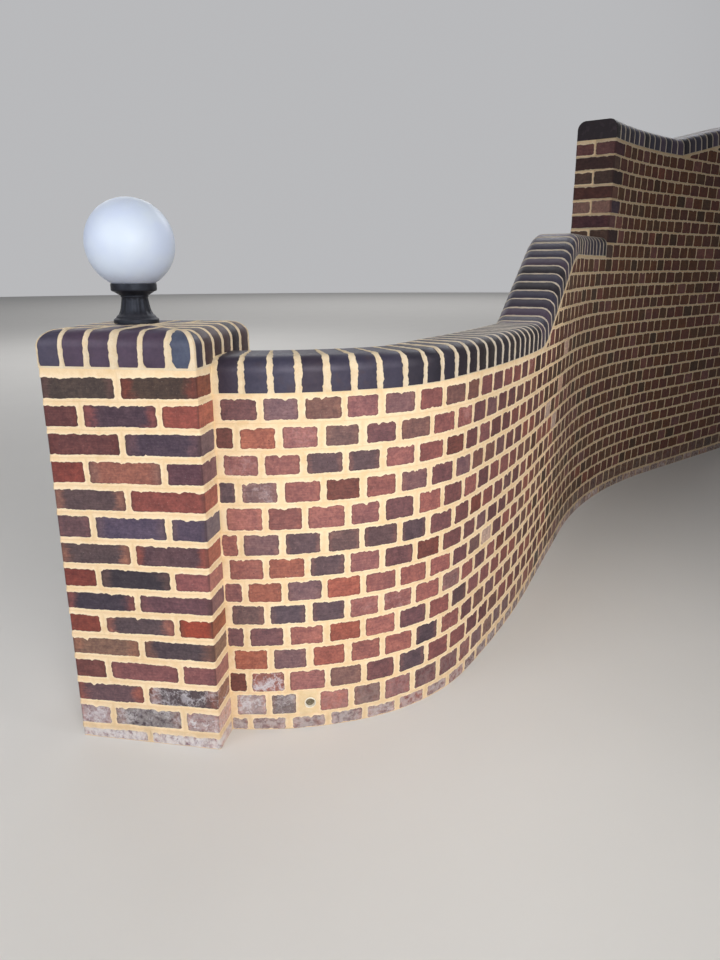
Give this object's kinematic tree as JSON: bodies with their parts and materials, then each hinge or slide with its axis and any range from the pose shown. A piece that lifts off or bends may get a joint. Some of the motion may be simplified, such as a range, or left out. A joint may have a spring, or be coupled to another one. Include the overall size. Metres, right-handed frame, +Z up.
{
  "type": "brick garden wall",
  "caption": "Curved brick garden wall with a capped square pier and globe lamp, swan-neck ramps in its rounded coping, and squared ends where it steps up to a tall wall.",
  "frame": {"origin": "centre of the square pier's base, on the ground", "axes": "+X to the right along the pier's front face, -Y out of the pier's front face, +Z up"},
  "size_m": [3.2008, 4.6477, 2.2935],
  "materials": {
    "brick": "rough red, purple and blue-brown facing brick with cream mortar",
    "coping": "satin blue engineering brick with cream mortar",
    "lamp_black": "satin black",
    "lamp_opal": "opal white",
    "pipe": "white plastic, weathered"
  },
  "bodies": {
    "root": {"pier_shaft": "brick", "pier_cap_front": "coping", "pier_cap_right": "coping", "pier_cap_back": "coping", "pier_cap_left": "coping", "lamp_stem": "lamp_black", "lamp_collar": "lamp_black", "lamp_globe": "lamp_opal", "low_wall_a": "brick", "low_wall_b": "brick", "low_wall_c": "brick", "low_wall_d": "brick", "weep_pipe": "pipe", "low_coping_a": "coping", "low_coping_b": "coping", "low_coping_c": "coping", "low_coping_d": "coping", "ramp_wall": "brick", "ramp_coping_foot": "coping", "ramp_coping_slope": "coping", "ramp_coping_crown": "coping", "mid_wall": "brick", "mid_coping": "coping", "tall_wall_a": "brick", "tall_wall_b": "brick", "tall_coping_a": "coping", "tall_coping_b": "coping", "high_ramp_wall": "brick", "high_coping_foot": "coping", "high_coping_slope": "coping", "high_coping_crown": "coping", "end_wall": "brick", "end_coping": "coping"}
  },
  "joints": []
}
